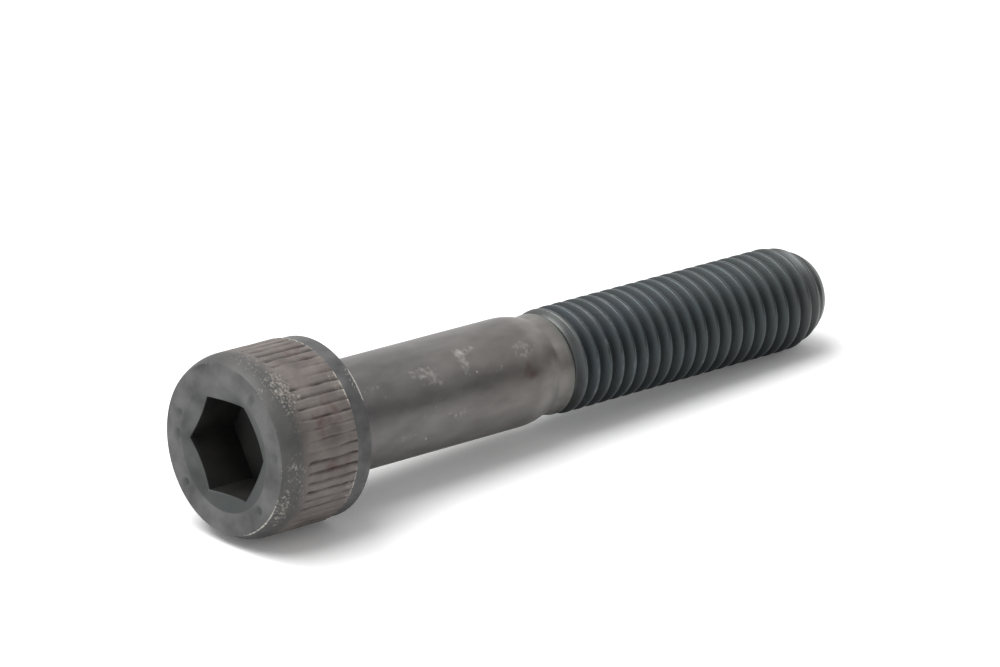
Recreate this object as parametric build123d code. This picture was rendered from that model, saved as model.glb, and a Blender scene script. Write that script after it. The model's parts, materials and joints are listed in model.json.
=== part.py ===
"""A used socket head cap screw, forged and rolled in one piece, lying on its side.

The screw is built along its own axis, from the front face of the head at zero to the tip.
It is then laid down at rest: head towards -X, tip towards +X, floor at Z = 0.
"""

import math
import os

from build123d import *

# Head
head_diameter = 16.1
head_height = 9.85
corner_length = 2.1
corner_drop = 0.6
band_length = 1.8
band_undersize = 0.15
rear_chamfer = 0.2

# Straight knurl round the head
knurl_count = 54
knurl_depth = 0.22
knurl_groove_share = 0.45
knurl_lead = 0.35

# Hexagon socket
socket_across_flats = 8.2
socket_depth = 5.2
socket_turn_deg = 26.0
socket_floor_slope_deg = 15.0
countersink_margin = 0.75
countersink_slope_deg = 20.0

# Shank, shoulder and neck
screw_length = 59.85
shank_diameter = 9.88
head_fillet = 0.5
shoulder_length = 2.7
neck_depth = 0.54
neck_length = 2.7

# Rolled thread, with a crest that lies underneath at a distance back from the tip's end
thread_length = 32.0
thread_undersize = 0.12
thread_pitch = 1.5
thread_depth = 0.8
thread_crest_share = 0.25
thread_lead_share = 1.0
low_crest_back = 2.91

# Rounded tip, with a cone to its end that is a little longer than one turn of the thread
tip_round = 2.0
tip_slope_deg = 45.0
tip_cone_share = 1.13

# Straight steps that each turn of the thread is drawn in
thread_steps = 24

# How far a cutter runs past the surface it cuts
cut_overrun = 0.12

# Sizes that follow from those above
knurl_radius = head_diameter / 2
band_radius = knurl_radius - band_undersize
face_radius = knurl_radius - corner_drop
knurl_start = corner_length + knurl_lead
knurl_end = head_height - band_length
knurl_groove_width = knurl_groove_share * math.pi * head_diameter / knurl_count
shank_radius = shank_diameter / 2
neck_radius = shank_radius - neck_depth
thread_radius = shank_radius - thread_undersize
root_radius = thread_radius - thread_depth
socket_corner_radius = socket_across_flats / math.sqrt(3)
countersink_radius = socket_corner_radius + countersink_margin
tip_slope = math.radians(tip_slope_deg)
tip_cone_length = tip_cone_share * thread_pitch
tip_cone_radius = thread_radius - tip_round * (1 - math.cos(tip_slope))
tip_radius = tip_cone_radius - tip_cone_length * math.tan(tip_slope)

# Stations along the axis, from the front face of the head
tip_end = head_height + screw_length
tip_cone_start = tip_end - tip_cone_length
tip_start = tip_cone_start - tip_round * math.sin(tip_slope)
thread_start = tip_end - thread_length
neck_low = thread_start - neck_length
shoulder_start = neck_low - shoulder_length
low_crest = tip_end - low_crest_back

# The thread winds in half turns from just above the neck to just past the start of the tip's cone
thread_half_turns = math.floor((tip_cone_start - neck_low) * 2 / thread_pitch)
thread_bottom = tip_cone_start - thread_half_turns * thread_pitch / 2
thread_bottom += (tip_cone_length - thread_pitch) / 2
thread_turn_deg = 180 + 360 * (thread_bottom + thread_crest_share * thread_pitch / 2 - low_crest) / thread_pitch


def at(radius: float, station: float) -> tuple:
    """A point of a turned outline."""
    return (radius, 0, station)


def turned(edges: list) -> Part:
    """Turn a closed outline in the XZ plane once round the screw's axis."""
    return revolve(make_face(edges), Axis.Z)


def head_and_shank() -> Part:
    """The turned form of head, shank and shoulder, down to the low point of the neck."""
    return turned(
        [
            Line(at(0, 0), at(face_radius, 0)),
            TangentArc(at(knurl_radius, corner_length), at(face_radius, 0), tangent=(0, 0, -1)),
            Line(at(knurl_radius, corner_length), at(knurl_radius, knurl_end)),
            Line(at(knurl_radius, knurl_end), at(band_radius, knurl_end)),
            Line(at(band_radius, knurl_end), at(band_radius, head_height - rear_chamfer)),
            Line(at(band_radius, head_height - rear_chamfer), at(band_radius - rear_chamfer, head_height)),
            Line(at(band_radius - rear_chamfer, head_height), at(shank_radius + head_fillet, head_height)),
            TangentArc(
                at(shank_radius + head_fillet, head_height),
                at(shank_radius, head_height + head_fillet),
                tangent=(-1, 0, 0),
            ),
            Line(at(shank_radius, head_height + head_fillet), at(shank_radius, shoulder_start)),
            TangentArc(at(shank_radius, shoulder_start), at(neck_radius, neck_low), tangent=(0, 0, 1)),
            Line(at(neck_radius, neck_low), at(0, neck_low)),
            Line(at(0, neck_low), at(0, 0)),
        ]
    )


def outline_radius(station: float) -> float:
    """Radius over the crests: up the neck, along the thread, round the tip and down its cone."""
    if station < thread_start:
        return neck_radius + (thread_radius - neck_radius) * (station - neck_low) / (thread_start - neck_low)
    if station < tip_start:
        return thread_radius
    if station < tip_cone_start:
        return thread_radius - tip_round + math.sqrt(tip_round**2 - (station - tip_start) ** 2)
    return tip_cone_radius - (station - tip_cone_start) * math.tan(tip_slope)


def groove_share(turns: float) -> float:
    """How much of the thread's groove is there: it sinks in over its first turn and fades out at the tip."""
    share = min(turns, thread_half_turns / 2 - turns, thread_lead_share) / thread_lead_share
    return max(share, 0) ** 2 * (3 - 2 * max(share, 0))


def thread_point(rise: float, sunk: bool, turns: float) -> Vector:
    """A point of a thread edge that starts a little above the thread's bottom and has wound so many turns."""
    station = thread_bottom + rise + turns * thread_pitch
    radius = outline_radius(station)
    if sunk:
        radius -= groove_share(turns) * max(radius - root_radius, 0)
    angle = math.radians(thread_turn_deg) + math.tau * turns
    return Vector(radius * math.cos(angle), radius * math.sin(angle), station)


def thread_row(rise: float, sunk: bool, first_turn: int) -> list:
    """The points of a thread edge, one for each step, from the start of one of its turns."""
    steps = range(thread_half_turns * thread_steps // 2 + 1)
    return [thread_point(rise, sunk, first_turn + step / thread_steps) for step in steps]


def thread_strip(low: list, high: list) -> list:
    """Flat faces between two rows of points, two for each step."""
    faces = []
    for low_start, low_end, high_start, high_end in zip(low, low[1:], high, high[1:]):
        faces.append(Face(Wire.make_polygon([low_start, low_end, high_start])))
        faces.append(Face(Wire.make_polygon([low_end, high_end, high_start])))
    return faces


def ring_edges(radius: float, station: float, row: list) -> list:
    """A ring round the axis, cut into arcs that lie in line with the steps of a row of points."""
    plane = Plane.XY.offset(station)
    angles = [math.degrees(math.atan2(point.Y, point.X)) for point in row]
    return [Edge.make_circle(radius, plane, start, end) for start, end in zip(angles, angles[1:])]


def threaded_end() -> Part:
    """Neck, rolled thread and tip, sewn from strips that wind round between the thread's edges."""
    crest = thread_crest_share * thread_pitch
    rows = [
        thread_row(0, False, 0),
        thread_row(crest, False, 0),
        thread_row((crest + thread_pitch) / 2, True, 0),
        thread_row(0, False, 1),
    ]
    faces = [face for low, high in zip(rows, rows[1:]) for face in thread_strip(low, high)]
    first_turn, last_turn = rows[0][: thread_steps + 1], rows[-1][-thread_steps - 1 :]
    for radius, station, row in ((neck_radius, neck_low, first_turn), (tip_radius, tip_end, last_turn)):
        ring = ring_edges(radius, station, row)
        steps = [Edge.make_line(start, end) for start, end in zip(row, row[1:])]
        faces += [Face.make_surface_from_curves(arc, step) for arc, step in zip(ring, steps)]
        faces.append(Face(Wire(ring)))
    return Part() + Solid(Shell(Face.sew_faces(faces)[0]))


def knurl_grooves() -> Part:
    """Straight grooves along the head, one of them underneath so that two teeth meet the floor."""
    outer_radius = knurl_radius + cut_overrun
    outer_half = knurl_groove_width / 2 * (knurl_depth + cut_overrun) / knurl_depth
    outline = Polyline(
        (knurl_radius - knurl_depth, 0),
        (outer_radius, outer_half),
        (outer_radius, -outer_half),
        close=True,
    )
    groove = extrude(Pos(0, 0, knurl_start) * make_face(outline), knurl_end - knurl_start)
    return PolarLocations(0, knurl_count, 180) * groove


def hex_socket() -> Part:
    """The hexagon hole with its shallow conical floor and the countersink round its mouth."""
    flats = Rot(0, 0, socket_turn_deg) * RegularPolygon(socket_corner_radius, 6)
    hole = extrude(Pos(0, 0, -cut_overrun) * flats, socket_depth + cut_overrun)
    floor_radius = socket_across_flats / 2
    floor_drop = floor_radius * math.tan(math.radians(socket_floor_slope_deg))
    floor = turned(
        [
            Line(at(0, 0), at(floor_radius, 0)),
            Line(at(floor_radius, 0), at(floor_radius, socket_depth)),
            Line(at(floor_radius, socket_depth), at(0, socket_depth + floor_drop)),
            Line(at(0, socket_depth + floor_drop), at(0, 0)),
        ]
    )
    slope = math.tan(math.radians(countersink_slope_deg))
    rim_radius = countersink_radius + cut_overrun / slope
    countersink = turned(
        [
            Line(at(0, -cut_overrun), at(rim_radius, -cut_overrun)),
            Line(at(rim_radius, -cut_overrun), at(0, countersink_radius * slope)),
            Line(at(0, countersink_radius * slope), at(0, -cut_overrun)),
        ]
    )
    return hole + floor + countersink


def laid_down(screw: Part) -> Part:
    """Rest the screw on two knurl teeth and on the crest where the tip begins to round off."""
    head_contact = math.sqrt(knurl_radius**2 - (knurl_groove_width / 2) ** 2)
    tilt = math.atan2(head_contact - thread_radius, tip_start - knurl_end)
    along = (math.cos(tilt), 0, -math.sin(tilt))
    above = (math.sin(tilt), 0, math.cos(tilt))
    face_height = head_contact * math.cos(tilt) + knurl_end * math.sin(tilt)
    rear_reach = face_radius * math.sin(tilt)
    front_reach = tip_end * math.cos(tilt) + tip_radius * math.sin(tilt)
    face_x = (rear_reach - front_reach) / 2
    return Plane((face_x, 0, face_height), x_dir=above, z_dir=along) * screw


cap_screw = laid_down(head_and_shank() - knurl_grooves() - hex_socket() + threaded_end())

os.makedirs("parts", exist_ok=True)
export_step(cap_screw, "parts/cap_screw.step")
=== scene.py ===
import json
import logging
import math
from dataclasses import dataclass, field
from enum import Enum

import bpy
import numpy as np
from mathutils import Matrix, Vector, noise


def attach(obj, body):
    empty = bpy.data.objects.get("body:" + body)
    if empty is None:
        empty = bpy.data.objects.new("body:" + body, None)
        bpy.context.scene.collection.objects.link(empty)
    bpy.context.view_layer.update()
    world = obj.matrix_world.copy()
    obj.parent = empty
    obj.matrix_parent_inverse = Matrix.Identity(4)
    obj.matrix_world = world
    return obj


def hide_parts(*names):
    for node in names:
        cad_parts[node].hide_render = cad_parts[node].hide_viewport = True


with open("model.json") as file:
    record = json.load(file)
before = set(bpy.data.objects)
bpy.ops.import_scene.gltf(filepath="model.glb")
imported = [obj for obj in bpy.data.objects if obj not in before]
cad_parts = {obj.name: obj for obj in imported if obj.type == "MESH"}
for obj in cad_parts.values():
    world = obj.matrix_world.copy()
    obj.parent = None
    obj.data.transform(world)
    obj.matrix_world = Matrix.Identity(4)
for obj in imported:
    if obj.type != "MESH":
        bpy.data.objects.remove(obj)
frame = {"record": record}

LOG = logging.getLogger("cap_screw_scene")
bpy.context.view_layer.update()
MM = 0.001

Piece = bpy.types.Object
Tree = bpy.types.NodeTree
Socket = bpy.types.NodeSocket


class Mark(Enum):
    """Point attributes of the screw that its finishes read, from 0 for none to 2 at the most."""

    STATION = "station_share"
    # Dark in the hollows: grime in the knurl's grooves and the dents, painted shade in the countersink, the
    # knurl's grooves and the thread's flanks
    RECESS = "groove_dirt"
    WORN = "rubbed_edge"
    RESIDUE = "dried_residue"
    RUST = "rust_bloom"
    SMEAR = "pale_smear"


class Zone(Enum):
    """Places of the finishes among the screw's material slots."""

    FACE = 0
    KNURL = 1
    SOCKET = 2
    BODY = 3


def linear(code: str) -> tuple[float, float, float, float]:
    """Turn an sRGB hex colour into linear values.

    Args:
        code: Colour such as "#5f6163".

    Returns:
        Red, green, blue and alpha, linear.
    """
    parts = [int(code[i : i + 2], 16) / 255 for i in (1, 3, 5)]
    return tuple(c / 12.92 if c <= 0.04045 else ((c + 0.055) / 1.055) ** 2.4 for c in parts) + (1.0,)


def add_node(
    tree: Tree, kind: str, settings: dict | None = None, links: dict | None = None
) -> bpy.types.Node:
    """Add a node with its settings and links.

    Args:
        tree: Node tree that gets the node.
        kind: Blender's name of the node type.
        settings: Attribute names, input numbers or input names with their values, and "stops" of a ramp.
        links: Input numbers or names, with the output sockets that feed them.

    Returns:
        The new node.
    """
    node = tree.nodes.new(kind)
    for key, value in (settings or {}).items():
        if key == "stops":
            stops = node.color_ramp.elements
            while len(stops) < len(value):
                stops.new(1.0)
            for stop, (place, code) in zip(stops, value):
                stop.position, stop.color = place, linear(code)
        elif isinstance(key, int) or key in node.inputs:
            node.inputs[key].default_value = value
        else:
            setattr(node, key, value)
    for key, socket in (links or {}).items():
        tree.links.new(socket, node.inputs[key])
    return node


def empty_material(name: str) -> tuple[bpy.types.Material, Tree]:
    """Make a material with an empty node tree.

    Args:
        name: Name of the material.

    Returns:
        The material and its node tree.
    """
    material = bpy.data.materials.new(name)
    material.use_nodes = True
    material.node_tree.nodes.clear()
    return material, material.node_tree


def coords(piece: Piece) -> np.ndarray:
    """Read a piece's vertices.

    Args:
        piece: Mesh object.

    Returns:
        One row for each vertex.
    """
    values = np.empty(len(piece.data.vertices) * 3)
    piece.data.vertices.foreach_get("co", values)
    return values.reshape(-1, 3)


def move_to(piece: Piece, points: np.ndarray) -> None:
    """Write a piece's vertices from an array of rows."""
    piece.data.vertices.foreach_set("co", points.ravel())
    piece.data.update()


def select_only(piece: Piece) -> None:
    """Leave one piece selected and active, out of edit mode.

    Args:
        piece: The piece.
    """
    bpy.ops.object.select_all(action="DESELECT")
    piece.select_set(True)
    bpy.context.view_layer.objects.active = piece


def extrude_rings(rings: list[tuple[float, float]]) -> None:
    """Extrude the selected ring along the screw's axis, from the first radius and station to the last.

    Args:
        rings: Radius and station of each ring, the selected one first.
    """
    for (radius, station), (next_radius, next_station) in zip(rings, rings[1:]):
        bpy.ops.mesh.extrude_region_move(TRANSFORM_OT_translate={"value": (0, 0, next_station - station)})
        scale = next_radius / radius
        bpy.ops.transform.resize(value=(scale, scale, 1), center_override=(0, 0, 0))


def ramp(value: np.ndarray, low: float, high: float) -> np.ndarray:
    """Smooth step from 0 at low to 1 at high."""
    share = np.clip((value - low) / (high - low), 0, 1)
    return share * share * (3 - 2 * share)


@dataclass(frozen=True)
class Lumps:
    """Smooth unevenness: the size of a lump in mm, its strength, and an offset that gives another pattern."""

    size: float
    strength: float
    seed: float

    def at(self, points: np.ndarray) -> np.ndarray:
        """Work out the unevenness at each point, from about minus the strength to the strength."""
        shift = Vector((self.seed, -self.seed, 2 * self.seed))
        return self.strength * np.array([noise.noise(Vector(p) / self.size + shift) for p in points])


@dataclass(frozen=True)
class Skin:
    """Places on the screw: distances along its axis and from it in mm, and angles round it from the top."""

    station: np.ndarray
    reach: np.ndarray
    turn_deg: np.ndarray

    @classmethod
    def of(cls, points: np.ndarray) -> "Skin":
        """Read the places of points that are given in the screw's own axes."""
        x, y, station = points.T
        return cls(station, np.hypot(x, y), np.degrees(np.arctan2(y, x)))


@dataclass(frozen=True)
class Patch:
    """A worn or stained place on the screw's side, in mm along the axis and degrees round it from the top."""

    station: float
    turn_deg: float
    length: float
    width: float
    strength: float = 1.0
    full_share: float = 0.3

    def cover(self, skin: Skin) -> np.ndarray:
        """How much of the patch is at each place.

        Args:
            skin: The places.

        Returns:
            Values from 0 to the patch's strength, soft towards its rim.
        """
        across = np.radians((skin.turn_deg - self.turn_deg + 180) % 360 - 180) * skin.reach
        away = np.hypot((skin.station - self.station) / self.length, across / self.width)
        return self.strength * (1 - ramp(away, self.full_share, 1.0))


def covered(patches: tuple[Patch, ...], skin: Skin) -> np.ndarray:
    """Add up how much of several patches is at each place."""
    return sum(patch.cover(skin) for patch in patches)


@dataclass
class Lie:
    """How the screw rests on its knurl and thread, as the socket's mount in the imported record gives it."""

    mount: str = "hex_socket"

    def matrix(self) -> Matrix:
        """Work out the place of the screw's own axes, which start at the middle of its front face.

        Returns:
            Matrix from the screw's axes in mm to the frame in metres.
        """
        mount = next(mount for mount in frame["record"]["mounts"] if mount["name"] == self.mount)
        along = -Vector(mount["axis"]).normalized()
        above = Vector((-along.z, 0, along.x))
        turn = Matrix((above, (0, -1, 0), along)).transposed().to_4x4()
        return Matrix.Translation(mount["pos_m"]) @ turn @ Matrix.Scale(MM, 4)


@dataclass
class ThreadedBody:
    """Shank, shoulder, neck, rolled thread and rounded tip, in mm from the front face of the head."""

    head_height: float = 9.85
    bearing_ring: float = 6.2
    head_fillet: float = 0.5
    fillet_rings: int = 6
    shank_radius: float = 4.94
    shank_rings: int = 75
    shoulder_start: float = 32.3
    neck_low: float = 35.0
    neck_radius: float = 4.40
    neck_blend: float = 0.12
    neck_cut: float = 34.2
    neck_rings: int = 13
    thread_start: float = 37.7
    thread_radius: float = 4.82
    root_radius: float = 4.02
    pitch: float = 1.5
    first_crest: float = 31.55
    groove_start: float = 35.7
    groove_full: float = 37.6
    turns: int = 26
    steps: int = 96
    tip_start: float = 66.0
    tip_end: float = 69.62
    tip_radius: float = 3.55
    tip_power: float = 1.85
    tip_cut: float = 69.0
    tip_rings: int = 6
    merge_gap: float = 0.0005
    cut_gap: float = 0.00001
    ring_gap: float = 0.0002
    # From a crest to the root beside it, as shares of the pitch and of the thread's depth
    half_tooth: tuple[tuple[float, float], ...] = (
        (0.0, 1.0), (0.07, 0.995), (0.105, 0.965), (0.14, 0.88), (0.24, 0.595),
        (0.33, 0.325), (0.395, 0.125), (0.44, 0.03), (0.5, 0.0),
    )
    # Over the soft edge of the end and towards its middle: inward from the tip's radius, and past its end
    end_steps: tuple[tuple[float, float], ...] = (
        (0.08, 0.02), (0.25, 0.035), (0.55, 0.045), (1.4, 0.045), (2.4, 0.045), (3.2, 0.045),
    )

    def tooth(self) -> list[tuple[float, float]]:
        """Outline of one tooth, from a crest down to the root and up to the next crest."""
        return [*self.half_tooth, *((1 - share, height) for share, height in self.half_tooth[-2::-1])]

    def tip_outline(self, station: np.ndarray | float) -> np.ndarray:
        """Radius of the tip, which falls off ever faster towards its end."""
        share = np.maximum(np.asarray(station) - self.tip_start, 0) / (self.tip_end - self.tip_start)
        return self.thread_radius - (self.thread_radius - self.tip_radius) * share**self.tip_power

    def neck_outline(self, station: np.ndarray | float) -> np.ndarray:
        """Radius of the rounded shoulder, the neck's low point and the rise to the thread.

        Args:
            station: Distances along the axis.

        Returns:
            Radius at each distance, with the shoulder and the rise blended where they meet.
        """
        station = np.asarray(station)
        drop = self.shank_radius - self.neck_radius
        length = self.neck_low - self.shoulder_start
        arc = (length**2 + drop**2) / (2 * drop)
        past = np.clip(station - self.shoulder_start, 0, arc)
        fall = self.shank_radius - arc + np.sqrt(arc**2 - past**2)
        climb = (self.thread_radius - self.neck_radius) / (self.thread_start - self.neck_low)
        rise = np.minimum(self.neck_radius + (station - self.neck_low) * climb, self.thread_radius)
        blend = np.maximum(self.neck_blend - np.abs(fall - rise), 0)
        return np.maximum(fall, rise) + blend**2 / (4 * self.neck_blend)

    def crest_outline(self, station: np.ndarray) -> np.ndarray:
        """Radius over the crests, from the neck to the tip."""
        return np.minimum(self.neck_outline(station), self.tip_outline(station))

    def thread_turns(self) -> Piece:
        """Draw one thread tooth as a line of points and wind it up the axis.

        Returns:
            The wound thread, open at both ends.
        """
        depth = self.thread_radius - self.root_radius
        tooth = self.tooth()
        bpy.ops.object.select_all(action="DESELECT")
        bpy.ops.mesh.primitive_plane_add(size=1)
        thread = bpy.context.object
        bpy.ops.object.mode_set(mode="EDIT")
        bpy.ops.mesh.select_all(action="SELECT")
        bpy.ops.mesh.merge(type="CENTER")
        bpy.ops.transform.translate(value=(self.thread_radius, 0, self.first_crest))
        for (share, height), (next_share, next_height) in zip(tooth, tooth[1:]):
            step = ((next_height - height) * depth, 0, (next_share - share) * self.pitch)
            bpy.ops.mesh.extrude_vertices_move(TRANSFORM_OT_translate={"value": step})
        bpy.ops.object.mode_set(mode="OBJECT")
        wind = thread.modifiers.new("thread turns", "SCREW")
        wind.axis = "Z"
        wind.angle = 2 * math.pi
        wind.screw_offset = self.pitch
        wind.iterations = self.turns
        wind.steps = wind.render_steps = self.steps
        bpy.ops.object.modifier_apply(modifier=wind.name)
        bpy.ops.object.mode_set(mode="EDIT")
        bpy.ops.mesh.select_all(action="SELECT")
        bpy.ops.mesh.remove_doubles(threshold=self.merge_gap)
        bpy.ops.object.mode_set(mode="OBJECT")
        return thread

    def fade(self, thread: Piece) -> None:
        """Let the thread rise out of the neck and run out on the tip, which no operator can do on a helix.

        Args:
            thread: The wound thread.
        """
        points = coords(thread)
        skin = Skin.of(points)
        height = (skin.reach - self.root_radius) / (self.thread_radius - self.root_radius)
        top = self.crest_outline(skin.station)
        depth = ramp(skin.station, self.groove_start, self.groove_full)
        depth *= np.maximum(top - self.root_radius, 0)
        points[:, :2] *= ((top - depth * (1 - height)) / skin.reach)[:, None]
        move_to(thread, points)

    def trim(self, thread: Piece) -> None:
        """Cut both ends of the wound thread square, where it is plain round.

        Args:
            thread: The faded thread.
        """
        bpy.ops.object.mode_set(mode="EDIT")
        for station, side in ((self.neck_cut, 1), (self.tip_cut, -1)):
            bpy.ops.mesh.select_all(action="SELECT")
            bpy.ops.mesh.bisect(
                plane_co=(0, 0, station), plane_no=(0, 0, side), clear_inner=True, threshold=self.cut_gap
            )
        bpy.ops.object.mode_set(mode="OBJECT")

    def select_end(self, thread: Piece, station: float) -> None:
        """Enter edit mode with one end ring selected.

        Args:
            thread: The trimmed thread.
            station: Distance of the ring along the axis.
        """
        bpy.ops.object.mode_set(mode="EDIT")
        bpy.ops.mesh.select_mode(type="EDGE")
        bpy.ops.mesh.select_all(action="DESELECT")
        bpy.ops.object.mode_set(mode="OBJECT")
        at_end = np.abs(coords(thread)[:, 2] - station) < self.ring_gap
        for edge in thread.data.edges:
            edge.select = bool(at_end[edge.vertices[0]] and at_end[edge.vertices[1]])
        bpy.ops.object.mode_set(mode="EDIT")

    def tip(self, thread: Piece) -> None:
        """Extrude the tip's end ring over the soft edge of the end and to its middle.

        Args:
            thread: The trimmed thread.
        """
        stations = np.linspace(self.tip_cut, self.tip_end, self.tip_rings)
        rings = [(float(self.tip_outline(station)), station) for station in stations]
        rings += [(self.tip_radius - inward, self.tip_end + past) for inward, past in self.end_steps]
        self.select_end(thread, self.tip_cut)
        extrude_rings(rings)
        bpy.ops.mesh.merge(type="CENTER")
        bpy.ops.object.mode_set(mode="OBJECT")

    def shank(self, thread: Piece) -> None:
        """Extrude the neck's ring along shoulder and shank, and out over the bearing face.

        Args:
            thread: The trimmed thread.
        """
        fillet_end = self.head_height + self.head_fillet
        neck = np.linspace(self.neck_cut, self.shoulder_start, self.neck_rings)
        straight = np.linspace(self.shoulder_start, fillet_end, self.shank_rings)[1:]
        rings = [(float(self.neck_outline(station)), station) for station in neck]
        rings += [(self.shank_radius, station) for station in straight]
        for turn in np.linspace(0, math.pi / 2, self.fillet_rings)[1:]:
            station = fillet_end - self.head_fillet * math.sin(turn)
            rings.append((self.shank_radius + self.head_fillet * (1 - math.cos(turn)), station))
        rings.append((self.bearing_ring, self.head_height))
        self.select_end(thread, self.neck_cut)
        extrude_rings(rings)
        bpy.ops.object.mode_set(mode="OBJECT")

    def build(self) -> Piece:
        """Make the body.

        Returns:
            The body, open only at its ring on the bearing face.
        """
        body = self.thread_turns()
        self.fade(body)
        self.trim(body)
        self.tip(body)
        self.shank(body)
        return body


@dataclass
class KnurledHead:
    """Head with straight knurl, plain band, countersink and hexagon socket, in mm from its front face."""

    columns: int = 540
    head_height: float = 9.85
    bearing_ring: float = 6.4
    band_radius: float = 7.90
    # Soft chamfer at the rear: inward from the band, and forward from the bearing face
    rear_edge: tuple[tuple[float, float], ...] = (
        (0.8, 0.0), (0.25, 0.0), (0.19, 0.02), (0.1, 0.1), (0.015, 0.19), (0.0, 0.25),
    )
    band_stations: tuple[float, ...] = (9.45, 9.2, 8.9, 8.6, 8.35, 8.2, 8.1)
    knurl_radius: float = 8.044
    knurl_start: float = 2.45
    knurl_end: float = 8.05
    # Soft edge of the knurl's end: inward from its radius, and forward from its end
    knurl_edge: tuple[tuple[float, float], ...] = ((0.045, 0.0), (0.01, 0.03))
    side_lead: float = 0.09
    side_rings: int = 25
    corner_length: float = 2.1
    corner_drop: float = 0.6
    corner_rings: int = 13
    corner_end: float = 0.05
    face_radius: float = 7.45
    # Soft edge of the face: inward from its radius, and back from the face
    face_edge: tuple[tuple[float, float], ...] = ((0.005, 0.018), (0.03, 0.002), (0.1, 0.0))
    face_outer: float = 7.2
    face_inner: float = 5.7
    face_rings: int = 10

    knurl_count: int = 54
    knurl_depth: float = 0.22
    knurl_groove_half: float = 0.211
    knurl_lead: float = 0.1
    knurl_taper: float = 0.35
    knurl_front: float = 0.3
    knurl_reach: float = 0.15
    surface_gap: float = 0.001
    least_reach: float = 1e-6
    # How deep the worn grooves still are, as shares of the knurl's depth
    groove_mean: float = 0.66
    groove_spread: float = 0.5
    groove_most: float = 1.05
    groove_uneven: Lumps = Lumps(1.1, 0.45, 5.3)
    groove_wander: Lumps = Lumps(1.3, 0.07, 6.7)
    # Where each tooth reads the noise that sets its own depth
    tooth_step: float = 7.3
    tooth_place: tuple[float, float] = (1.7, 0.4)
    rub_wide: Lumps = Lumps(1.6, 0.05, 3.1)
    rub_fine: Lumps = Lumps(0.5, 0.03, 9.2)
    rub_most: float = 0.08
    worn_smooth: tuple[Patch, ...] = (
        Patch(4.2, 30, 2.2, 2.4, 0.95), Patch(4.4, 80, 3.0, 1.0, 0.75), Patch(3.2, -60, 1.8, 2.0, 0.8),
        Patch(5.5, -140, 2.2, 1.7, 0.8), Patch(4.0, 150, 1.6, 1.8, 0.6),
    )

    socket_half_flats: float = 4.1
    socket_turn_deg: float = 26.0
    socket_depth: float = 5.2
    socket_floor_slope: float = math.tan(math.radians(15))
    countersink_margin: float = 0.75
    countersink_slope: float = math.tan(math.radians(20))
    # Soft rim of the countersink: outward from its radius, and back from the face
    rim_edge: tuple[tuple[float, float], ...] = ((0.06, 0.0), (-0.06, 0.03))
    cone_shares: tuple[float, ...] = (0.8, 0.45, 0.13)
    mouth_round: tuple[tuple[float, float], ...] = ((0.045, 0.01), (0.012, 0.05), (0.0, 0.12))
    wall_lead: float = 0.2
    wall_stations: tuple[float, ...] = (0.8, 1.2, 2.0, 3.0, 4.0, 4.8, 5.1, 5.2)
    floor_radii: tuple[float, ...] = (4.08, 3.4, 2.3, 1.2, 0.3)

    dent_depth: float = 0.2
    # Plain dents in the face, with their distances from the axis as stations
    dents: tuple[Patch, ...] = (
        Patch(6.1, -74, 0.6, 0.5, 0.8), Patch(6.0, -92, 0.5, 0.7, 0.9), Patch(6.4, -132, 0.5, 0.5, 1.0),
        Patch(6.2, 132, 0.6, 0.6, 1.0), Patch(6.3, 32, 0.7, 0.5, 0.7), Patch(6.7, 80, 0.4, 0.7, 0.5),
    )

    @property
    def countersink_radius(self) -> float:
        """Radius of the countersink, a margin past the hexagon's corners."""
        return 2 * self.socket_half_flats / math.sqrt(3) + self.countersink_margin

    def corner_outline(self, station: np.ndarray | float) -> np.ndarray | float:
        """Radius of the rounded front corner."""
        arc = (self.corner_length**2 + self.corner_drop**2) / (2 * self.corner_drop)
        return self.knurl_radius - arc + np.sqrt(arc**2 - (self.corner_length - station) ** 2)

    def turned_outline(self) -> list[tuple[float, float]]:
        """Draw the outline that the head is turned from.

        Returns:
            Radius and station of each ring, from the bearing face over the side to the countersink's rim.
        """
        side = np.linspace(self.knurl_end - self.side_lead, self.corner_length, self.side_rings)
        corner = np.linspace(self.corner_length, self.corner_end, self.corner_rings)[1:]
        face = np.linspace(self.face_outer, self.face_inner, self.face_rings)
        rings = [(self.bearing_ring, self.head_height)]
        rings += [(self.band_radius - inward, self.head_height - ahead) for inward, ahead in self.rear_edge]
        rings += [(self.band_radius, station) for station in self.band_stations]
        rings += [(self.knurl_radius - inward, self.knurl_end - ahead) for inward, ahead in self.knurl_edge]
        rings += [(self.knurl_radius, station) for station in side]
        rings += [(float(self.corner_outline(station)), station) for station in corner]
        rings += [(self.face_radius - inward, back) for inward, back in self.face_edge]
        rings += [(radius, 0) for radius in face]
        rings += [(self.countersink_radius + outward, back) for outward, back in self.rim_edge]
        return rings

    def mouth(self, turn_deg: np.ndarray) -> np.ndarray:
        """Distance of the hexagon's walls from the axis at each angle."""
        sector = np.mod(turn_deg - self.socket_turn_deg, 60) - 30
        return self.socket_half_flats / np.cos(np.radians(sector))

    def socket_rings(self, wall: np.ndarray) -> list[tuple[np.ndarray, np.ndarray]]:
        """Reach and station of every ring of the socket, column by column.

        Args:
            wall: Distance of the hexagon's walls from the axis at each column.

        Returns:
            Rings from the countersink over the rounded mouth, down the walls and over the conical floor.
        """
        lip = (self.countersink_radius - wall) * self.countersink_slope
        rings = []
        for share in self.cone_shares:
            rings.append((wall + (self.countersink_radius - wall) * share, lip * (1 - share)))
        rings += [(wall + outward, lip + down) for outward, down in self.mouth_round]
        rings += [(wall, np.maximum(station, lip + self.wall_lead)) for station in self.wall_stations]
        for radius in self.floor_radii:
            drop = (self.socket_half_flats - radius) * self.socket_floor_slope
            rings.append((np.full_like(wall, radius), np.full_like(wall, self.socket_depth + drop)))
        return rings

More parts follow.
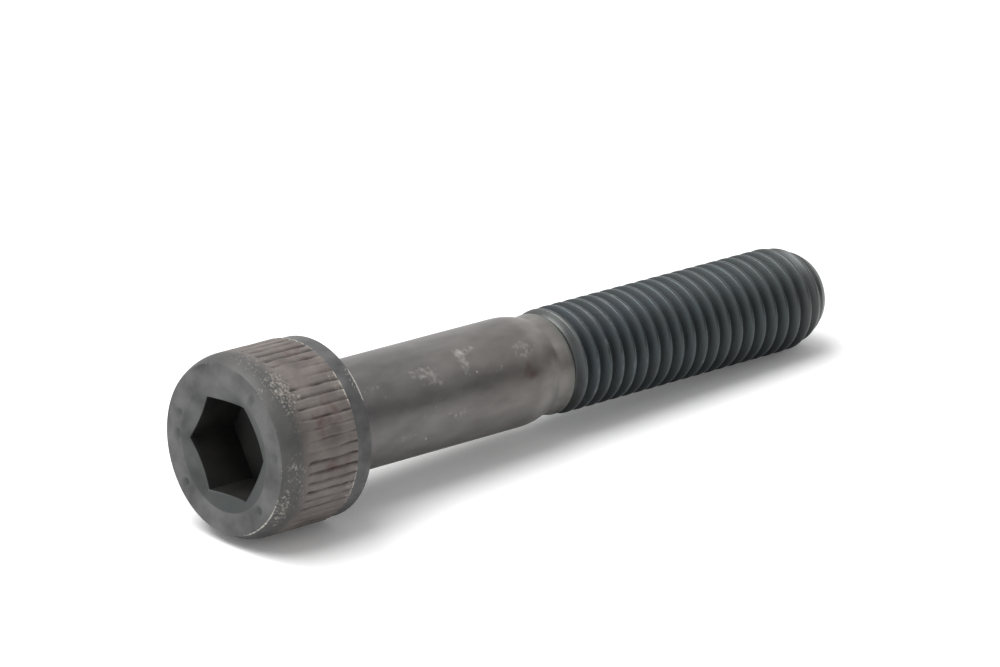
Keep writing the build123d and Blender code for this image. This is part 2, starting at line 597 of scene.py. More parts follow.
    def lathe(self) -> Piece:
        """Extrude a circle ring by ring over the turned outline and down the socket.

        Returns:
            The plain turned head, open at its ring on the bearing face, with its socket's rings still round.
        """
        rings = self.turned_outline()
        bpy.ops.object.select_all(action="DESELECT")
        radius, station = rings[0]
        bpy.ops.mesh.primitive_circle_add(vertices=self.columns, radius=radius, location=(0, 0, station))
        head = bpy.context.object
        bpy.ops.object.transform_apply()
        round_rings = self.socket_rings(np.array([self.socket_half_flats]))
        rings += [(float(reach[0]), float(station[0])) for reach, station in round_rings]
        bpy.ops.object.mode_set(mode="EDIT")
        bpy.ops.mesh.select_all(action="SELECT")
        extrude_rings(rings)
        bpy.ops.mesh.extrude_region_move()
        bpy.ops.mesh.merge(type="CENTER")
        bpy.ops.object.mode_set(mode="OBJECT")
        return head

    def press_socket(self, head: Piece) -> None:
        """Bring the socket's round rings to the hexagon, column by column, which no operator can do.

        Args:
            head: The turned head.
        """
        points = coords(head)
        first = len(self.turned_outline()) * self.columns
        turn = np.arctan2(points[:, 1], points[:, 0])
        columns = turn[first : first + self.columns]
        for reach, station in self.socket_rings(self.mouth(np.degrees(columns))):
            part = slice(first, first + self.columns)
            points[part, 0] = reach * np.cos(turn[part])
            points[part, 1] = reach * np.sin(turn[part])
            points[part, 2] = station
            first += self.columns
        points[-1] = (0, 0, self.socket_depth + self.socket_half_flats * self.socket_floor_slope)
        move_to(head, points)

    def dented(self, skin: Skin) -> np.ndarray:
        """How far the dents in the face reach at each place, as a share of their depth."""
        return covered(self.dents, Skin(skin.reach, skin.reach, skin.turn_deg))

    def press_dents(self, head: Piece) -> None:
        """Sink a few plain shallow dents into the front face.

        Args:
            head: The turned head with its socket.
        """
        points = coords(head)
        skin = Skin.of(points)
        on_face = (skin.station < self.surface_gap) & (skin.reach > self.countersink_radius)
        points[:, 2] += np.where(on_face, self.dent_depth * self.dented(skin), 0)
        move_to(head, points)

    def groove_depths(self, points: np.ndarray, number: np.ndarray) -> np.ndarray:
        """Depth of the worn grooves, each a little different and rubbed away in places.

        Args:
            points: Points of the head.
            number: Number of the groove that each point is nearest to.

        Returns:
            Depth in mm of the nearest groove's middle at each point.
        """
        skin = Skin.of(points)
        places = [(self.tooth_step * (n % self.knurl_count), *self.tooth_place) for n in number]
        own = self.groove_spread * np.array([noise.noise(place) for place in places])
        share = np.clip(self.groove_mean + own + self.groove_uneven.at(points), 0, self.groove_most)
        depth = self.knurl_depth * share
        depth *= ramp(skin.station, self.knurl_start - self.knurl_lead, self.knurl_start + self.knurl_taper)
        for patch in self.worn_smooth:
            depth *= 1 - patch.cover(skin)
        return depth

    def press_knurl(self, head: Piece) -> None:
        """Press the worn knurl into the side, which no operator can do so unevenly.

        Args:
            head: The turned head.
        """
        points = coords(head)
        skin = Skin.of(points)
        spacing = 360 / self.knurl_count
        number = np.round((skin.turn_deg - 180) / spacing)
        aside = np.radians(skin.turn_deg - 180 - number * spacing) * self.knurl_radius
        aside = np.abs(aside + self.groove_wander.at(points))
        groove = np.clip(1 - aside / self.knurl_groove_half, 0, 1) * self.groove_depths(points, number)
        rubbed = np.clip(self.rub_wide.at(points), 0, None) + self.rub_fine.at(points)
        outline = self.knurl_radius - groove - np.clip(rubbed, 0, self.rub_most)
        on_side = (skin.station > self.knurl_front) & (skin.station <= self.knurl_end + self.surface_gap)
        on_side &= skin.reach > self.face_radius - self.knurl_reach
        target = np.where(on_side, np.minimum(skin.reach, outline), skin.reach)
        points[:, :2] *= (target / np.maximum(skin.reach, self.least_reach))[:, None]
        move_to(head, points)

    def build(self) -> Piece:
        """Make the head.

        Returns:
            The head, open only at its ring on the bearing face.
        """
        head = self.lathe()
        self.press_socket(head)
        self.press_dents(head)
        self.press_knurl(head)
        return head


@dataclass
class Wear:
    """Where the finish is rubbed, stained, rusted, caked or darkened by painted shade, as point attributes of
    the screw.
    """

    residue: tuple[Patch, ...] = (
        Patch(1.9, 15, 2.4, 8.0, 0.66), Patch(2.4, 50, 2.6, 4.6, 0.42), Patch(1.3, 104, 2.4, 7.5, 0.64),
        Patch(0.5, 122, 0.8, 3.5, 0.25), Patch(1.8, -100, 1.3, 4.0, 0.6), Patch(1.6, 190, 1.2, 4.0, 0.5),
        Patch(7.5, 42, 1.0, 2.8, 0.8), Patch(7.6, 112, 0.9, 3.0, 0.76), Patch(7.6, -5, 0.8, 3.5, 0.68),
        Patch(0.2, 33, 0.6, 0.6, 0.5), Patch(3.3, 45, 0.9, 0.5, 0.3), Patch(0.9, 86, 0.9, 0.5, 0.25),
        Patch(9.4, 42, 0.8, 3.2, 0.8), Patch(9.3, 112, 0.8, 2.6, 0.7), Patch(5.2, 108, 2.4, 2.4, 0.5),
        Patch(14.4, 57, 0.24, 0.24, 1.0), Patch(15.8, 81, 0.22, 0.22, 0.9), Patch(24.2, 86, 0.3, 0.25, 0.7),
        Patch(18.9, 112, 0.4, 0.2, 0.7), Patch(25.3, 56, 0.4, 0.2, 0.7), Patch(21.0, -95, 0.3, 0.3, 0.8),
        Patch(13.0, 200, 0.3, 0.4, 0.9), Patch(27.5, 170, 0.3, 0.3, 0.9), Patch(20.5, 48, 9.0, 4.0, 0.62),
        Patch(18.0, 100, 8.0, 3.4, 0.6), Patch(20.0, -120, 9.0, 5.0, 0.6),
    )
    smear: tuple[Patch, ...] = (
        Patch(19.4, 42, 3.0, 0.9, 0.9), Patch(20.6, 54, 1.6, 0.8, 0.8), Patch(24.2, 40, 1.0, 2.4, 0.9),
        Patch(25.6, 30, 2.4, 0.7, 0.85), Patch(31.2, 46, 2.2, 1.6, 0.72), Patch(13.6, 44, 2.2, 0.8, 0.6),
        Patch(16.3, 104, 2.0, 0.7, 0.65), Patch(22.4, 92, 2.6, 0.8, 0.6), Patch(27.6, 60, 2.2, 0.7, 0.6),
        Patch(23.0, -110, 2.2, 1.6, 0.8), Patch(15.0, -150, 1.6, 1.2, 0.7), Patch(29.0, 175, 1.8, 1.3, 0.8),
        Patch(63.9, 50, 0.6, 0.5, 0.8), Patch(57.8, 88, 0.5, 0.5, 0.7), Patch(53.2, 116, 0.5, 0.6, 0.8),
        Patch(47.0, -120, 0.6, 0.6, 0.7), Patch(60.0, 200, 0.6, 0.6, 0.7),
    )
    rust: tuple[Patch, ...] = (
        Patch(31.2, 69, 1.9, 1.3, 1.0), Patch(22.8, 68, 2.6, 1.0, 0.45), Patch(29.0, -70, 2.0, 1.4, 0.8),
        Patch(14.0, 160, 2.0, 1.2, 0.6), Patch(36.6, 60, 0.8, 1.6, 0.45), Patch(5.2, 64, 3.0, 3.0, 0.5),
        Patch(5.6, 12, 2.6, 3.0, 0.45), Patch(5.0, -150, 2.4, 3.0, 0.6), Patch(5.6, 92, 2.0, 1.2, 0.6),
    )
    rubbed: tuple[Patch, ...] = (
        Patch(9.65, 47, 0.35, 2.4, 1.2), Patch(9.7, -60, 0.3, 2.0, 1.0), Patch(9.7, 160, 0.3, 2.5, 1.0),
        Patch(0.0, 135, 0.2, 4.2, 0.7), Patch(0.0, -120, 0.2, 3.0, 0.9), Patch(7.95, 45, 0.35, 2.5, 1.0),
        Patch(7.95, 110, 0.3, 3.0, 0.8), Patch(7.95, 0, 0.3, 3.5, 0.7),
    )
    face_margin: float = 0.1
    face_depth: float = 0.5
    dent_dirt: float = 0.55
    knurl_lead: float = 0.2
    knurl_past: float = 0.01
    knurl_reach: float = 0.3
    cone_from: float = 0.02
    cone_to: float = 0.6
    # Painted shade in the countersink: its base strength, and how much darker towards the bottom and one side
    cone_shade: float = 0.5
    cone_shade_low: float = 0.3
    cone_shade_right: float = 0.25
    rim_rub: float = 0.5
    rim_core: float = 0.04
    rim_widths: tuple[float, ...] = (0.13, 0.3, 0.25, 0.2)
    rear_rub_forward: float = 0.15
    rear_rub_inward: float = 0.1
    crest_rub: float = 0.5
    crest_edge: float = 0.06
    crests_from: tuple[float, float] = (36.0, 37.5)
    crests_to: tuple[float, float] = (41.0, 52.0)
    # Painted shade in the thread's grooves, and the depth below the crests at which it is full
    flank_shade: float = 0.42
    flank_edge: float = 0.25
    most: float = 2.0

    def mark(self, screw: Piece, head: KnurledHead, body: ThreadedBody) -> None:
        """Work out every mark from the place of each point.

        Args:
            screw: The joined screw, still along its own axis in mm.
            head: Sizes of the head.
            body: Sizes of the body.
        """
        skin = Skin.of(coords(screw))
        marks = {
            Mark.RESIDUE: covered(self.residue, skin),
            Mark.SMEAR: covered(self.smear, skin),
            Mark.RUST: covered(self.rust, skin),
            Mark.WORN: (self.rim_rub + covered(self.rubbed, skin)) * self.rims(skin, head),
            Mark.STATION: skin.station / body.tip_end,
            Mark.RECESS: self.recesses(skin, head) + self.flanks(skin, body),
        }
        off_face = (skin.reach > head.face_radius - self.face_margin) | (skin.station > head.head_height)
        marks[Mark.RESIDUE] *= off_face
        marks[Mark.WORN] += self.crests(skin, body)
        for mark, values in marks.items():
            layer = screw.data.attributes.new(mark.value, "FLOAT", "POINT")
            layer.data.foreach_set("value", np.clip(values, 0, self.most).astype(np.float32))

    def recesses(self, skin: Skin, head: KnurledHead) -> np.ndarray:
        """Old grime in the knurl's grooves and the dents, with painted shade over the grooves and in the
        countersink.

        Args:
            skin: Places on the screw.
            head: Sizes of the head.

        Returns:
            0 on the clean surface, and about 1 in the deepest groove.
        """
        station, reach = skin.station, skin.reach
        around = np.radians(skin.turn_deg)
        # Painted shade in the countersink, darker towards its bottom and one side
        cone = self.cone_shade - self.cone_shade_low * np.cos(around) + self.cone_shade_right * np.sin(around)
        on_cone = (station > self.cone_from) & (station < self.cone_to) & (reach < head.countersink_radius)
        on_knurl = reach > head.band_radius - self.knurl_reach
        on_knurl &= station > head.knurl_start - self.knurl_lead
        on_knurl &= station < head.knurl_end + self.knurl_past
        on_face = (reach > head.countersink_radius) & (reach < head.face_radius - self.face_margin)
        on_face &= station < self.face_depth
        dirt_and_shade = np.where(on_knurl, (head.knurl_radius - reach) / head.knurl_depth, 0)
        dirt_and_shade += np.where(on_cone, cone, 0)
        return dirt_and_shade + np.where(on_face, self.dent_dirt * head.dented(skin), 0)

    def rims(self, skin: Skin, head: KnurledHead) -> np.ndarray:
        """Nearness to the head's turned edges.

        Args:
            skin: Places on the screw.
            head: Sizes of the head.

        Returns:
            1 on an edge, falling to 0 beside it.
        """
        rims = (
            (head.face_radius, 0.0),
            (head.band_radius, head.head_height - self.rear_rub_forward),
            (head.knurl_radius, head.knurl_end),
            (head.band_radius - self.rear_rub_inward, head.head_height),
        )
        near = []
        for (radius, station), width in zip(rims, self.rim_widths):
            away = np.hypot(skin.reach - radius, skin.station - station)
            near.append(1 - ramp(away, self.rim_core, width))
        return np.max(near, axis=0)

    def crests(self, skin: Skin, body: ThreadedBody) -> np.ndarray:
        """Rubbing on the first thread crests.

        Args:
            skin: Places on the screw.
            body: Sizes of the body.

        Returns:
            Values from 0 to about a half.
        """
        below = body.crest_outline(skin.station) - skin.reach
        first = ramp(skin.station, *self.crests_from) * (1 - ramp(skin.station, *self.crests_to))
        return self.crest_rub * (1 - ramp(below, 0.0, self.crest_edge)) * first

    def flanks(self, skin: Skin, body: ThreadedBody) -> np.ndarray:
        """Painted shade on the thread's flanks and in its roots.

        Args:
            skin: Places on the screw.
            body: Sizes of the body.

        Returns:
            Values from 0 on the crests to about 0.4 in the groove.
        """
        below = body.crest_outline(skin.station) - skin.reach
        on_thread = (skin.station > body.groove_start) & (skin.station < body.tip_end)
        return np.where(on_thread, self.flank_shade * ramp(below, 0.0, self.flank_edge), 0)


@dataclass(frozen=True)
class Layer:
    """A broken layer over a finish: its mark, colour and speck size, and where it starts and is full."""

    mark: Mark
    colour: str
    speck_mm: float
    low: float
    high: float


@dataclass(frozen=True)
class Finish:
    """What the steel's finishes share: blotches, fine grit, and broken layers of wear and dirt."""

    name: str
    metallic: float
    rough: tuple[float, float]
    blotch_mm: float = 2.4
    blotch_detail: float = 6.0
    # Real grit is finer than the render can show, so it is drawn this coarse
    grit_mm: float = 0.2
    grit_detail: float = 3.0
    relief_mm: float = 0.02
    relief_strength: float = 0.35
    oil_film: float = 0.0
    oil_rough: float = 0.4
    mark_weight: float = 0.5
    speck_detail: float = 4.0
    layers: tuple[Layer, ...] = ()

    def mask(self, tree: Tree, place: Socket, layer: Layer) -> Socket:
        """Break a layer up into specks.

        Args:
            tree: Node tree of the material.
            place: Object coordinates.
            layer: The layer.

        Returns:
            How much of the layer is at a point.
        """
        mark = add_node(tree, "ShaderNodeAttribute", {"attribute_name": layer.mark.value})
        specks = add_node(
            tree, "ShaderNodeTexNoise",
            {"Scale": 1 / (layer.speck_mm * MM), "Detail": self.speck_detail}, {"Vector": place},
        )
        dense = add_node(
            tree, "ShaderNodeMath", {"operation": "MULTIPLY_ADD", 1: self.mark_weight},
            {0: mark.outputs["Fac"], 2: specks.outputs["Fac"]},
        )
        return add_node(
            tree, "ShaderNodeMapRange",
            {"From Min": layer.low, "From Max": layer.high}, {"Value": dense.outputs[0]},
        ).outputs[0]

    def coat(self, tree: Tree, place: Socket, blotch: Socket) -> Socket:
        """Colour of the finish without its wear, which each finish has of its own."""
        raise NotImplementedError

    def material(self) -> bpy.types.Material:
        """Make the material: coat, layers, roughness and fine relief.

        Returns:
            The material.
        """
        material, tree = empty_material(self.name)
        place = add_node(tree, "ShaderNodeTexCoord").outputs["Object"]
        blotch = add_node(
            tree, "ShaderNodeTexNoise",
            {"Scale": 1 / (self.blotch_mm * MM), "Detail": self.blotch_detail}, {"Vector": place},
        ).outputs["Fac"]
        grit = add_node(
            tree, "ShaderNodeTexNoise",
            {"Scale": 1 / (self.grit_mm * MM), "Detail": self.grit_detail}, {"Vector": place},
        ).outputs["Fac"]
        colour = self.coat(tree, place, blotch)
        for layer in self.layers:
            colour = add_node(
                tree, "ShaderNodeMix", {"data_type": "RGBA", 7: linear(layer.colour)},
                {0: self.mask(tree, place, layer), 6: colour},
            ).outputs[2]
        rough = add_node(
            tree, "ShaderNodeMapRange", {"To Min": self.rough[0], "To Max": self.rough[1]}, {"Value": blotch}
        )
        relief = add_node(
            tree, "ShaderNodeBump",
            {"Strength": self.relief_strength, "Distance": self.relief_mm * MM}, {"Height": grit},
        )
        shader = add_node(
            tree, "ShaderNodeBsdfPrincipled",
            {"Metallic": self.metallic, "Coat Weight": self.oil_film, "Coat Roughness": self.oil_rough},
            {"Base Color": colour, "Roughness": rough.outputs[0], "Normal": relief.outputs[0]},
        )
        add_node(tree, "ShaderNodeOutputMaterial", links={"Surface": shader.outputs[0]})
        return material


@dataclass(frozen=True)
class ForgedOxide(Finish):
    """Black oxide on cold-forged faces: dark neutral grey, half matt, rubbed to bare steel at the edges."""

    name: str = "black_oxide_forged_steel"
    metallic: float = 0.6
    rough: tuple[float, float] = (0.4, 0.56)
    relief_mm: float = 0.04
    tones: tuple[tuple[float, str], ...] = ((0.3, "#464646"), (0.7, "#6c6c6c"))
    # Colour of the painted shade in the countersink and of the grime in the dents
    dirt_and_shade: str = "#3c4140"
    layers: tuple[Layer, ...] = (
        Layer(Mark.RESIDUE, "#a5a19a", 0.16, 0.94, 1.12), Layer(Mark.WORN, "#b9b6b1", 0.3, 0.84, 1.1),
    )

    def coat(self, tree: Tree, place: Socket, blotch: Socket) -> Socket:
        """Neutral grey in slow blotches, with painted shade in the countersink and old grime in the dents.

        Args:
            tree: Node tree of the material.
            place: Object coordinates.
            blotch: Slow noise.

        Returns:
            The colour.
        """
        tone = add_node(tree, "ShaderNodeValToRGB", {"stops": self.tones}, {0: blotch})
        recess = add_node(tree, "ShaderNodeAttribute", {"attribute_name": Mark.RECESS.value})
        return add_node(
            tree, "ShaderNodeMix", {"data_type": "RGBA", 7: linear(self.dirt_and_shade)},
            {0: recess.outputs["Fac"], 6: tone.outputs[0]},
        ).outputs[2]


@dataclass(frozen=True)
class RolledKnurl(Finish):
    """Black oxide gone brown on the rolled knurl: dull, with old grime and painted shade in the grooves, and
    caked residue.
    """

    name: str = "browned_oxide_knurled_steel"
    metallic: float = 0.45
    rough: tuple[float, float] = (0.48, 0.62)
    relief_mm: float = 0.06
    corner_tones: tuple[tuple[float, str], ...] = ((0.35, "#454545"), (0.65, "#545352"))
    side_tones: tuple[tuple[float, str], ...] = ((0.35, "#625b58"), (0.65, "#79726e"))
    # Shares of the screw's length between which grey turns to brown
    brown_from: float = 0.022
    brown_full: float = 0.042
    # Grime in the knurl's grooves, laid on dark enough to paint their shade as well
    dirt_and_shade: str = "#2f2a28"
    dirt_and_shade_from: float = 0.2
    dirt_and_shade_full: float = 0.9
    dirt_and_shade_most: float = 0.8
    layers: tuple[Layer, ...] = (
        Layer(Mark.RUST, "#5a4743", 1.1, 0.7, 1.05), Layer(Mark.RESIDUE, "#98938b", 0.24, 0.88, 1.14),
        Layer(Mark.WORN, "#b0aba3", 0.3, 0.86, 1.12),
    )

    def coat(self, tree: Tree, place: Socket, blotch: Socket) -> Socket:
        """Grey on the rounded corner, brown over the knurl, dark in its grooves.

        Args:
            tree: Node tree of the material.
            place: Object coordinates.
            blotch: Slow noise.

        Returns:
            The colour.
        """
        grey = add_node(tree, "ShaderNodeValToRGB", {"stops": self.corner_tones}, {0: blotch})
        brown = add_node(tree, "ShaderNodeValToRGB", {"stops": self.side_tones}, {0: blotch})
        along = add_node(tree, "ShaderNodeAttribute", {"attribute_name": Mark.STATION.value})
        share = add_node(
            tree, "ShaderNodeMapRange",
            {"From Min": self.brown_from, "From Max": self.brown_full}, {"Value": along.outputs["Fac"]},
        )
        side = add_node(
            tree, "ShaderNodeMix", {"data_type": "RGBA"},
            {0: share.outputs[0], 6: grey.outputs[0], 7: brown.outputs[0]},
        )
        recess = add_node(tree, "ShaderNodeAttribute", {"attribute_name": Mark.RECESS.value})
        dirt_and_shade = add_node(
            tree, "ShaderNodeMapRange",
            {"From Min": self.dirt_and_shade_from, "From Max": self.dirt_and_shade_full, "To Max": self.dirt_and_shade_most},
            {"Value": recess.outputs["Fac"]},
        )
        return add_node(
            tree, "ShaderNodeMix", {"data_type": "RGBA", 7: linear(self.dirt_and_shade)},
            {0: dirt_and_shade.outputs[0], 6: side.outputs[2]},
        ).outputs[2]


@dataclass(frozen=True)
class PaintedShadeSocket(Finish):
    """Oxide on the socket's walls and floor, almost black as painted shade of the deep socket, with little
    shine.
    """

    name: str = "socket_steel_painted_shade"
    metallic: float = 0.2
    rough: tuple[float, float] = (0.5, 0.6)
    # Near-black tones: painted shade of the deep socket
    tones: tuple[tuple[float, str], ...] = ((0.35, "#151515"), (0.7, "#272624"))

    def coat(self, tree: Tree, place: Socket, blotch: Socket) -> Socket:
        """Near black with slight brown blotches."""
        return add_node(tree, "ShaderNodeValToRGB", {"stops": self.tones}, {0: blotch}).outputs[0]


@dataclass(frozen=True)
class RubbedShank(Finish):
    """Oxide handled down to brown grey on the shank, with a painted highlight on the shoulder and neck, blue
    black in the rolled thread with painted shade in its grooves.
    """

    name: str = "rubbed_oxide_rolled_steel"
    metallic: float = 0.7
    rough: tuple[float, float] = (0.34, 0.5)
    relief_mm: float = 0.045
    oil_film: float = 0.26
    layers: tuple[Layer, ...] = (
        Layer(Mark.RUST, "#513f3a", 1.4, 0.8, 1.15), Layer(Mark.SMEAR, "#a09c99", 0.42, 0.8, 1.3),
        Layer(Mark.RESIDUE, "#c4c1bc", 0.3, 1.0, 1.2), Layer(Mark.WORN, "#6c7071", 1.2, 0.72, 1.15),
    )
    # Colours by shares of the screw's length, and how far their borders wander; the paler stops at 0.474 and
    # 0.51 paint a highlight on the shoulder and neck
    tones_and_neck_highlight: tuple[tuple[float, str], ...] = (
        (0.14, "#676565"), (0.30, "#706d6b"), (0.46, "#6d6966"), (0.474, "#7f7b78"), (0.51, "#7b7773"),
        (0.528, "#61635f"), (0.55, "#384145"), (0.92, "#3c4446"), (0.96, "#4f5252"),
    )
    border: float = 0.008
    # Blotches drawn out along the shank by handling
    streak: str = "#3a3836"
    streak_mm: float = 1.6
    streak_draw: tuple[float, float, float] = (0.45, 1.0, 1.0)
    streak_detail: float = 5.0
    streak_from: float = 0.35
    streak_full: float = 0.7
    streak_most: float = 0.45
    # Painted shade in the thread's flanks and roots
    flank_shade_colour: str = "#1a1f22"

    def coat(self, tree: Tree, place: Socket, blotch: Socket) -> Socket:
        """Colours along the screw, with ragged borders, darkened by drawn-out blotches and by painted shade
        in the thread's grooves.

        Args:
            tree: Node tree of the material.
            place: Object coordinates.
            blotch: Slow noise.

        Returns:
            The colour.
        """
        along = add_node(tree, "ShaderNodeAttribute", {"attribute_name": Mark.STATION.value})
        ragged = add_node(
            tree, "ShaderNodeMapRange", {"To Min": -self.border, "To Max": self.border}, {"Value": blotch}
        )
        share = add_node(
            tree, "ShaderNodeMath", {"operation": "ADD"}, {0: along.outputs["Fac"], 1: ragged.outputs[0]}
        )
        tone = add_node(tree, "ShaderNodeValToRGB", {"stops": self.tones_and_neck_highlight}, {0: share.outputs[0]})
        drawn = add_node(tree, "ShaderNodeMapping", {"Scale": self.streak_draw}, {"Vector": place})
        streaks = add_node(
            tree, "ShaderNodeTexNoise",
            {"Scale": 1 / (self.streak_mm * MM), "Detail": self.streak_detail}, {"Vector": drawn.outputs[0]},
        )
        shade = add_node(
            tree, "ShaderNodeMapRange",
            {"From Min": self.streak_from, "From Max": self.streak_full, "To Max": self.streak_most},
            {"Value": streaks.outputs["Fac"]},
        )
        worn = add_node(
            tree, "ShaderNodeMix", {"data_type": "RGBA", 7: linear(self.streak)},
            {0: shade.outputs[0], 6: tone.outputs[0]},
        )
        recess = add_node(tree, "ShaderNodeAttribute", {"attribute_name": Mark.RECESS.value})
        return add_node(
            tree, "ShaderNodeMix", {"data_type": "RGBA", 7: linear(self.flank_shade_colour)},
            {0: recess.outputs["Fac"], 6: worn.outputs[2]},
        ).outputs[2]


@dataclass
class CapScrew:
    """The whole screw: head and body joined into one closed mesh, marked for wear, dressed and laid down."""

    lie: Lie = field(default_factory=Lie)
    head: KnurledHead = field(default_factory=KnurledHead)
    body: ThreadedBody = field(default_factory=ThreadedBody)
    wear: Wear = field(default_factory=Wear)
    # Borders of the zones that the finishes cover, in mm past the edges they follow
    corner_from: float = 0.03
    corner_reach: float = 0.05
    knurl_past: float = 0.02
    wall_past: float = 0.02
    socket_back: float = 1.0
    bearing_past: float = 0.01
    smooth_deg: float = 32.0

    def join(self) -> Piece:
        """Join head and body across the bearing face.

        Returns:
            The screw as one closed mesh along its own axis, in mm.
        """
        body = self.body.build()
        head = self.head.build()
        select_only(head)
        body.select_set(True)
        bpy.ops.object.join()
        screw = bpy.context.object
        screw.name = screw.data.name = "used_cap_screw"
        bpy.ops.object.mode_set(mode="EDIT")
        bpy.ops.mesh.select_mode(type="EDGE")
        bpy.ops.mesh.select_all(action="DESELECT")
        bpy.ops.mesh.select_non_manifold(
            use_wire=False, use_boundary=True, use_multi_face=False, use_non_contiguous=False, use_verts=False
        )
        bpy.ops.mesh.bridge_edge_loops()
        bpy.ops.mesh.select_all(action="SELECT")
        bpy.ops.mesh.normals_make_consistent(inside=False)
        bpy.ops.object.mode_set(mode="OBJECT")
        return screw

    def dress(self, screw: Piece) -> None:
        """Give each zone of the screw its finish.

        Args:
            screw: The joined screw, still along its own axis.
        """
        finishes = {
            Zone.FACE: ForgedOxide(),
            Zone.KNURL: RolledKnurl(),
            Zone.SOCKET: PaintedShadeSocket(),
            Zone.BODY: RubbedShank(),
        }
        for zone in Zone:
            screw.data.materials.append(finishes[zone].material())
        centres = np.empty(len(screw.data.polygons) * 3)
        screw.data.polygons.foreach_get("center", centres)
        skin = Skin.of(centres.reshape(-1, 3))
        station, reach, wall = skin.station, skin.reach, self.head.mouth(skin.turn_deg)
        on_side = (station > self.corner_from) & (station < self.head.knurl_end + self.knurl_past)
        on_side &= reach > self.head.face_radius - self.corner_reach
        in_socket = (station < self.head.head_height - self.socket_back) & (reach < wall + self.wall_past)
        on_body = (station > self.head.head_height - self.bearing_past) & (reach < self.body.bearing_ring)
        zones = np.full(len(station), Zone.FACE.value, dtype=np.int32)
        for zone, there in ((Zone.KNURL, on_side), (Zone.SOCKET, in_socket), (Zone.BODY, on_body)):
            zones[there] = zone.value
        screw.data.polygons.foreach_set("material_index", zones)

    def build(self) -> Piece:
        """Build, mark, dress and lay down the screw.

        Returns:
            The finished screw in the frame.
        """
        screw = self.join()
        self.wear.mark(screw, self.head, self.body)
        self.dress(screw)
        screw.matrix_world = self.lie.matrix()
        select_only(screw)
        bpy.ops.object.transform_apply()
        bpy.ops.object.shade_smooth_by_angle(angle=math.radians(self.smooth_deg))
        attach(screw, "root")
        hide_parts("cap_screw")
        return screw


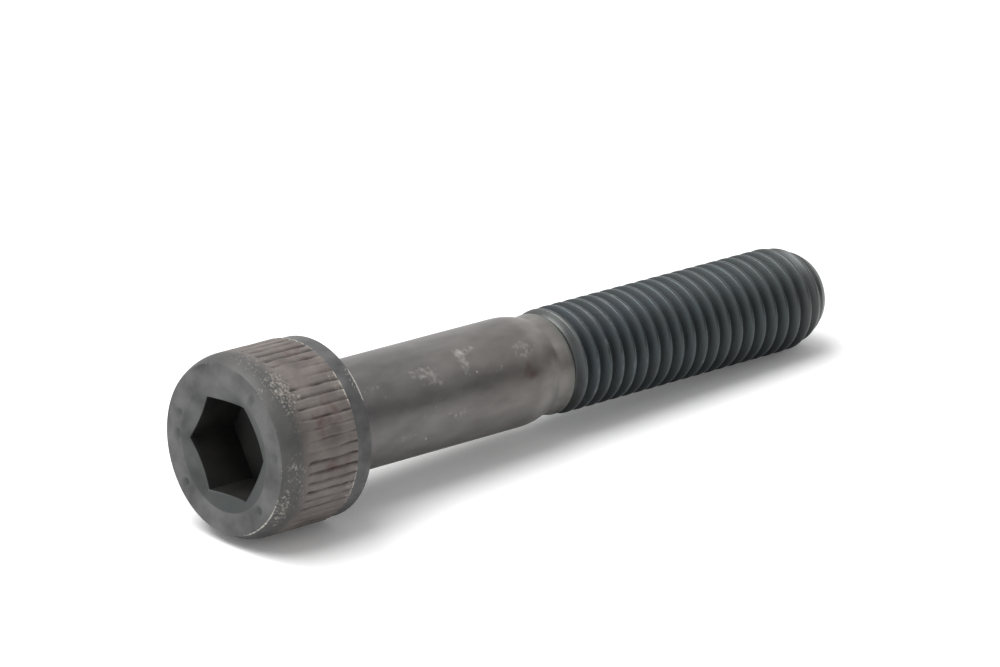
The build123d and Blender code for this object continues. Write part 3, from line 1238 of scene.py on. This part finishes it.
@dataclass
class Studio:
    """Pale floor, soft light, and the camera at the photo's viewing angle, in mm."""

    camera_place: tuple[float, float, float] = (-310.446, -328.035, 184.148)
    camera_aim: tuple[float, float, float] = (0.638186, 0.680473, -0.360104)
    camera_reach: tuple[float, float] = (10.0, 20000.0)
    lens: float = 198.0
    sensor: float = 36.0
    floor_size: float = 6000.0
    floor_glow: float = 0.06
    lamp_place: tuple[float, float, float] = (-300.0, 160.0, 880.0)
    lamp_size: tuple[float, float] = (900.0, 600.0)
    lamp_watts: float = 9.8
    room_light: float = 0.55
    flag_place: tuple[float, float, float] = (450.0, -430.0, 150.0)
    flag_size: tuple[float, float] = (1300.0, 300.0)

    def camera(self) -> None:
        """Set up the camera."""
        data = bpy.data.cameras.new("camera")
        data.lens, data.sensor_width = self.lens, self.sensor
        data.sensor_fit = "HORIZONTAL"
        data.clip_start, data.clip_end = (reach * MM for reach in self.camera_reach)
        camera = bpy.data.objects.new("camera", data)
        camera.location = Vector(self.camera_place) * MM
        camera.rotation_euler = Vector(self.camera_aim).to_track_quat("-Z", "Y").to_euler()
        bpy.context.scene.collection.objects.link(camera)
        bpy.context.scene.camera = camera

    def floor(self) -> None:
        """Lay the pale floor."""
        bpy.ops.object.select_all(action="DESELECT")
        bpy.ops.mesh.primitive_plane_add(size=self.floor_size * MM)
        floor = bpy.context.object
        floor.name = "floor"
        # Matt white paper has no gloss: the camera sees it white, and it holds the shadow
        material, tree = empty_material("matt_white_paper")
        matt = add_node(tree, "ShaderNodeBsdfDiffuse", {"Color": linear("#eeeeee")})
        white = add_node(tree, "ShaderNodeBsdfDiffuse", {"Color": linear("#ffffff")})
        glow = add_node(tree, "ShaderNodeEmission", {"Color": linear("#ffffff"), "Strength": self.floor_glow})
        path = add_node(tree, "ShaderNodeLightPath")
        both = add_node(tree, "ShaderNodeAddShader", links={0: white.outputs[0], 1: glow.outputs[0]})
        mix = add_node(
            tree, "ShaderNodeMixShader",
            links={0: path.outputs["Is Camera Ray"], 1: matt.outputs[0], 2: both.outputs[0]},
        )
        add_node(tree, "ShaderNodeOutputMaterial", links={"Surface": mix.outputs[0]})
        floor.data.materials.append(material)

    def flag(self) -> None:
        """Stand a dark flag low on the right, seen only in the metal, for the dark streak along its side."""
        bpy.ops.object.select_all(action="DESELECT")
        bpy.ops.mesh.primitive_plane_add(size=1, location=Vector(self.flag_place) * MM)
        flag = bpy.context.object
        flag.name = "dark_flag"
        flag.scale = (self.flag_size[0] * MM, self.flag_size[1] * MM, 1)
        facing = Vector((-self.flag_place[0], -self.flag_place[1], 0))
        flag.rotation_euler = facing.to_track_quat("Z", "Y").to_euler()
        bpy.ops.object.transform_apply()
        # Matt black felt swallows light, so the steel shows it as a soft dark band
        material, tree = empty_material("matt_black_felt")
        matt = add_node(tree, "ShaderNodeBsdfDiffuse", {"Color": linear("#1c1c1c")})
        add_node(tree, "ShaderNodeOutputMaterial", links={"Surface": matt.outputs[0]})
        flag.data.materials.append(material)
        flag.visible_camera = flag.visible_shadow = flag.visible_diffuse = False

    def light(self) -> None:
        """Hang one large soft lamp over the floor and fill the room with pale light."""
        lamp = bpy.data.lights.new("soft_box", "AREA")
        lamp.shape = "RECTANGLE"
        lamp.size, lamp.size_y = (side * MM for side in self.lamp_size)
        lamp.energy = self.lamp_watts
        box = bpy.data.objects.new("soft_box", lamp)
        box.location = Vector(self.lamp_place) * MM
        box.rotation_euler = (-box.location).to_track_quat("-Z", "Y").to_euler()
        bpy.context.scene.collection.objects.link(box)
        world = bpy.data.worlds.new("pale_room")
        world.use_nodes = True
        tree = world.node_tree
        tree.nodes.clear()
        path = add_node(tree, "ShaderNodeLightPath")
        seen = path.outputs["Is Camera Ray"]
        for ray in ("Is Glossy Ray", "Is Transmission Ray"):
            seen = add_node(
                tree, "ShaderNodeMath", {"operation": "MAXIMUM"}, {0: seen, 1: path.outputs[ray]}
            ).outputs[0]
        pale = linear("#ffffff")
        room = add_node(tree, "ShaderNodeBackground", {"Color": pale, "Strength": self.room_light})
        white = add_node(tree, "ShaderNodeBackground", {"Color": pale, "Strength": 1.0})
        mix = add_node(tree, "ShaderNodeMixShader", links={0: seen, 1: room.outputs[0], 2: white.outputs[0]})
        add_node(tree, "ShaderNodeOutputWorld", links={"Surface": mix.outputs[0]})
        bpy.context.scene.world = world

    def build(self) -> None:
        """Set up camera, floor, flag and light."""
        self.camera()
        self.floor()
        self.flag()
        self.light()
        bpy.context.scene.view_settings.view_transform = "Standard"


def main() -> None:
    """Build the screw and its studio, and note the sizes."""
    logging.basicConfig(level=logging.INFO, format="%(name)s: %(message)s")
    screw = CapScrew().build()
    screw.data.calc_loop_triangles()
    LOG.info("%s: %d triangles", screw.name, len(screw.data.loop_triangles))
    Studio().build()
    LOG.info("studio ready")


if __name__ == "__main__":
    main()
